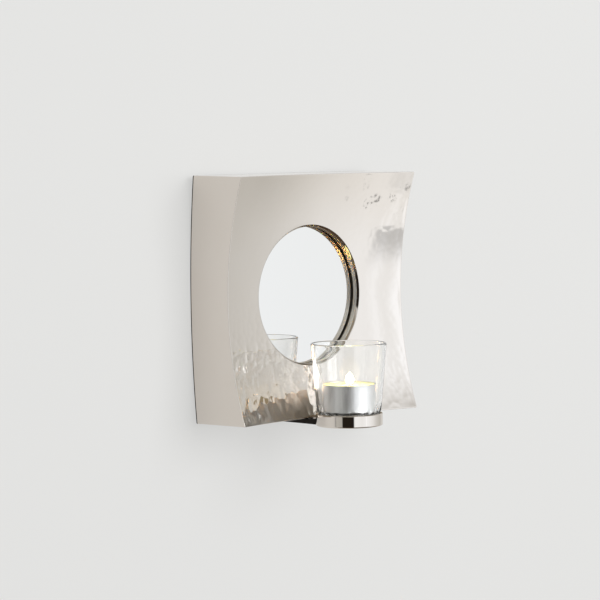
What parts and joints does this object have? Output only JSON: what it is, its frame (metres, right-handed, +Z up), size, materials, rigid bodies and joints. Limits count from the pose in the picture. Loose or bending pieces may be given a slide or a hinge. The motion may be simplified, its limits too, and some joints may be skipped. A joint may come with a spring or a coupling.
{
  "type": "candle sconce",
  "caption": "Square wall sconce in polished hammered nickel with a dished face, a round recessed mirror, and an arm with a ring that holds a clear votive glass and a tealight.",
  "frame": {"origin": "centre of the square plate, on the wall plane at the rear of the back board", "axes": "+Z up along the wall, +Y into the wall, so the face looks along -Y, and +X to the viewer's right"},
  "size_m": [0.1766, 0.0971, 0.1805],
  "materials": {
    "nickel": "mirror-polished nickel, hammered on the face",
    "mirror": "silvered flat glass",
    "clear_glass": "clear, polished",
    "steel": "plain zinc-plated",
    "brass": "sawn, unpolished",
    "tin": "drawn, semi-bright",
    "wax": "smooth paraffin wax",
    "cotton": "charred cotton braid",
    "black_board": "fibreboard, stained black",
    "hardboard": "raw hardboard"
  },
  "bodies": {
    "sconce": {"front_shell": "nickel", "opening_collar": "nickel", "candle_arm": "nickel", "cup_ring": "nickel", "mirror_disc": "mirror", "mirror_backing": "hardboard", "back_board": "black_board", "hanger_plate": "steel", "mirror_clip_1": "steel", "clip_screw_1": "steel", "corner_gusset_1": "brass", "board_screw_1": "steel", "mirror_clip_2": "steel", "clip_screw_2": "steel", "corner_gusset_2": "brass", "board_screw_2": "steel", "mirror_clip_3": "steel", "clip_screw_3": "steel", "corner_gusset_3": "brass", "board_screw_3": "steel", "mirror_clip_4": "steel", "clip_screw_4": "steel", "corner_gusset_4": "brass", "board_screw_4": "steel", "hanger_screw_1": "steel", "arm_screw_1": "steel", "arm_nut_1": "steel", "hanger_screw_2": "steel", "arm_screw_2": "steel", "arm_nut_2": "steel"},
    "glass": {"glass_cup": "clear_glass"},
    "tealight": {"tealight_tin": "tin", "tealight_wax": "wax", "wick_sustainer": "steel", "wick": "cotton"}
  },
  "joints": [
    {"name": "glass_lift", "type": "slide", "parent": "sconce", "child": "glass", "axis": [0, 0, 1], "range_m": [0, 0.08]},
    {"name": "tealight_lift", "type": "slide", "parent": "glass", "child": "tealight", "axis": [0, 0, 1], "range_m": [0, 0.07]}
  ]
}
